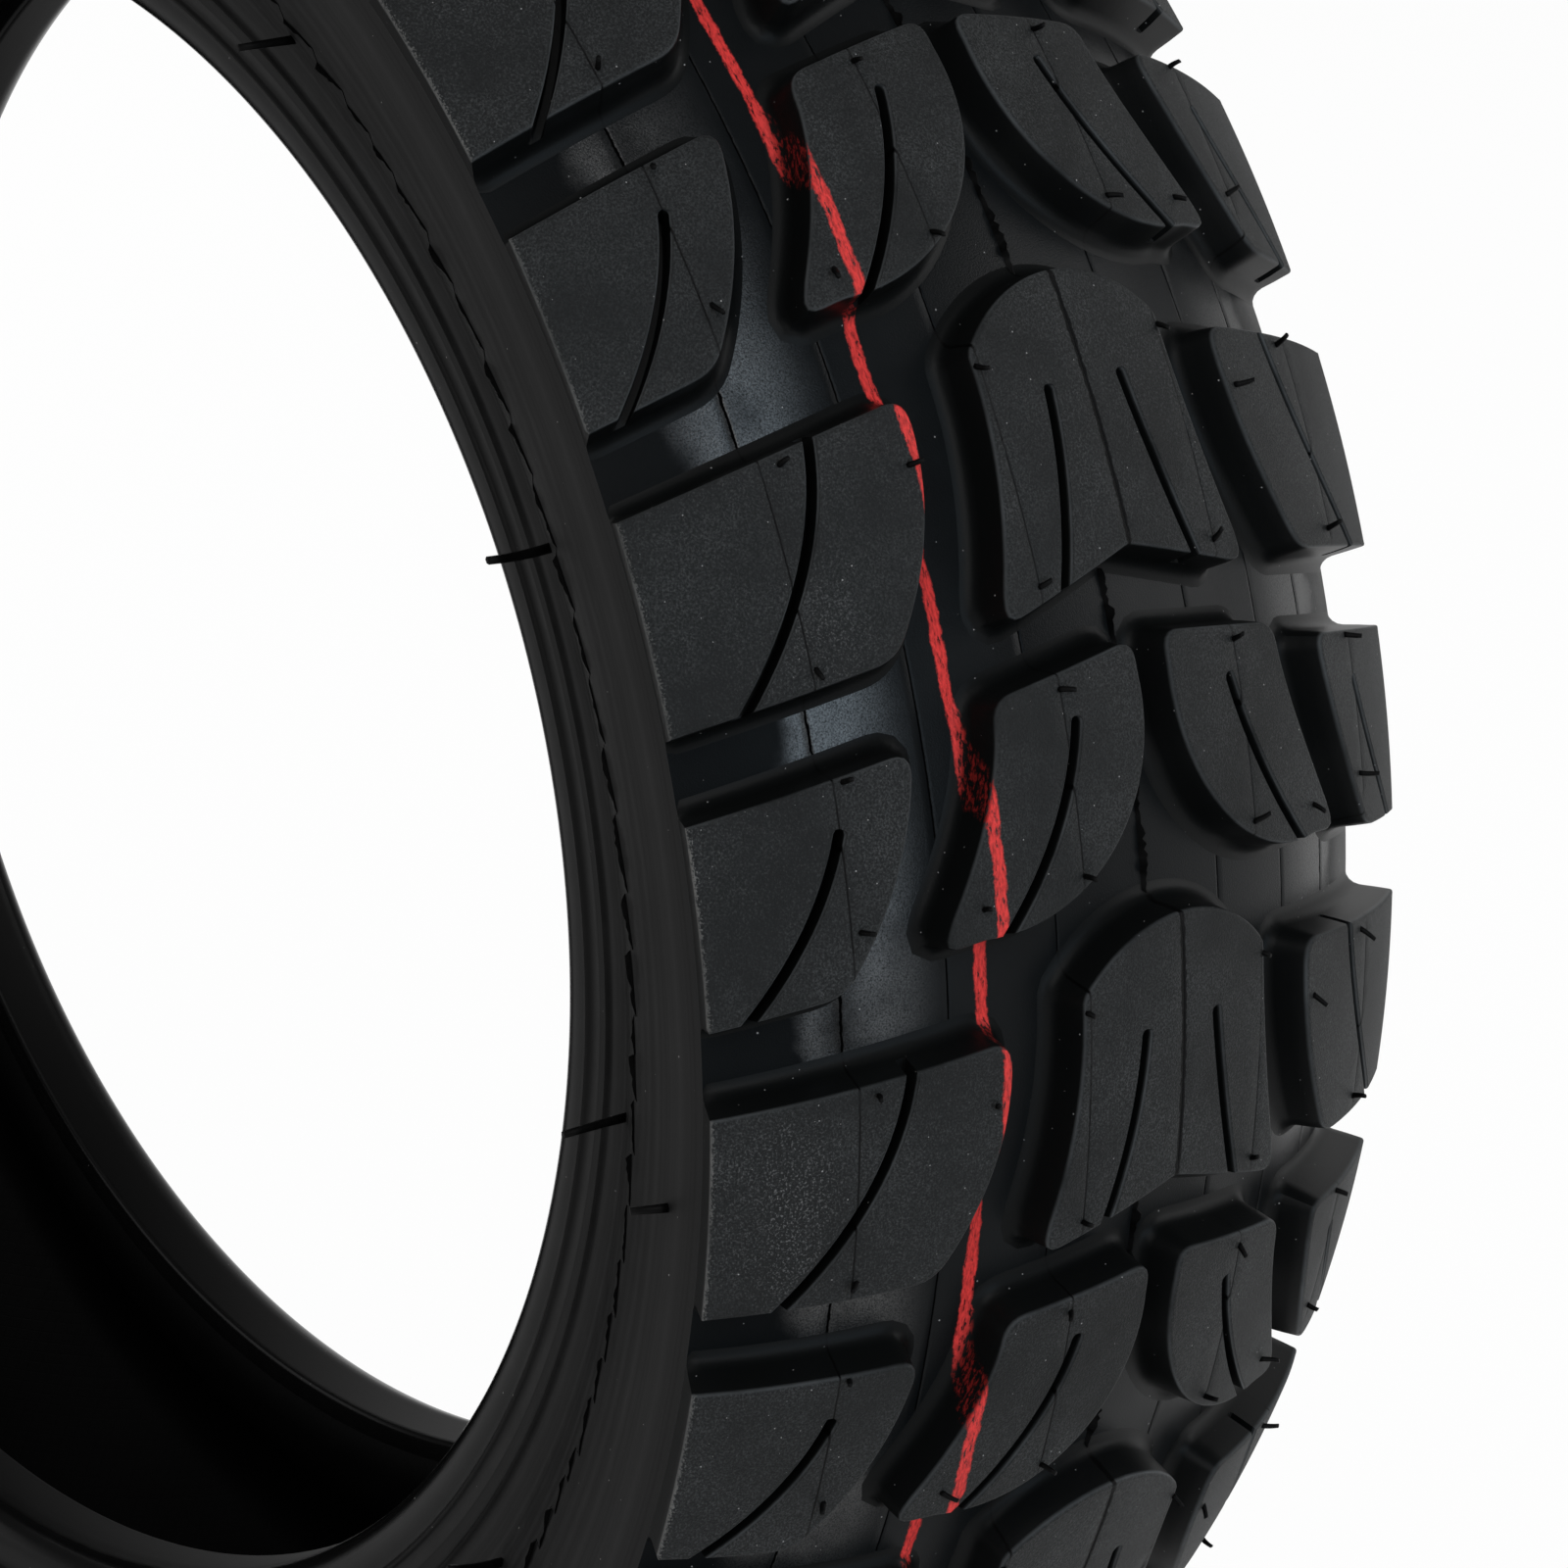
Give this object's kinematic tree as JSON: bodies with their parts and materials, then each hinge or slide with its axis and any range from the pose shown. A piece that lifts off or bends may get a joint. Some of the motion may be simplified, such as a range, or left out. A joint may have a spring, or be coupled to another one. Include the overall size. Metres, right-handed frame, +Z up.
{
  "type": "motorcycle tire",
  "caption": "Small motorcycle or scooter tire with a block tread, sipes, ribbed beads and a carcass of plies, wire beads and fillers.",
  "frame": {"origin": "wheel centre, midway between the beads on the axle line", "axes": "+Y along the axle, +Z up, the tire stands on its tread"},
  "size_m": [0.41, 0.1318, 0.41],
  "materials": {
    "tread_rubber": "matte moulded rubber with a fine grain",
    "groove_rubber": "satin moulded rubber",
    "sidewall_rubber": "satin moulded rubber",
    "liner_rubber": "smooth cured inner liner",
    "bead_rubber": "hard rubber",
    "nylon_ply": "rubber-dipped nylon cord",
    "bead_wire": "bronze-plated steel wire"
  },
  "bodies": {
    "root": {"inner_liner": "liner_rubber", "carcass_ply_inner": "nylon_ply", "carcass_ply_outer": "nylon_ply", "breaker_ply": "nylon_ply", "tread_base": "groove_rubber", "centre_blocks": "tread_rubber", "bead_wires_left": "bead_wire", "bead_wires_right": "bead_wire", "bead_insulation_left": "bead_rubber", "bead_insulation_right": "bead_rubber", "bead_wrap_left": "nylon_ply", "bead_wrap_right": "nylon_ply", "bead_filler_left": "bead_rubber", "bead_filler_right": "bead_rubber", "chafer_left": "sidewall_rubber", "chafer_right": "sidewall_rubber", "sidewall_left": "sidewall_rubber", "sidewall_right": "sidewall_rubber", "intermediate_blocks_left": "tread_rubber", "intermediate_blocks_right": "tread_rubber", "long_shoulder_blocks_left": "tread_rubber", "long_shoulder_blocks_right": "tread_rubber", "short_shoulder_blocks_left": "tread_rubber", "short_shoulder_blocks_right": "tread_rubber"}
  },
  "joints": []
}
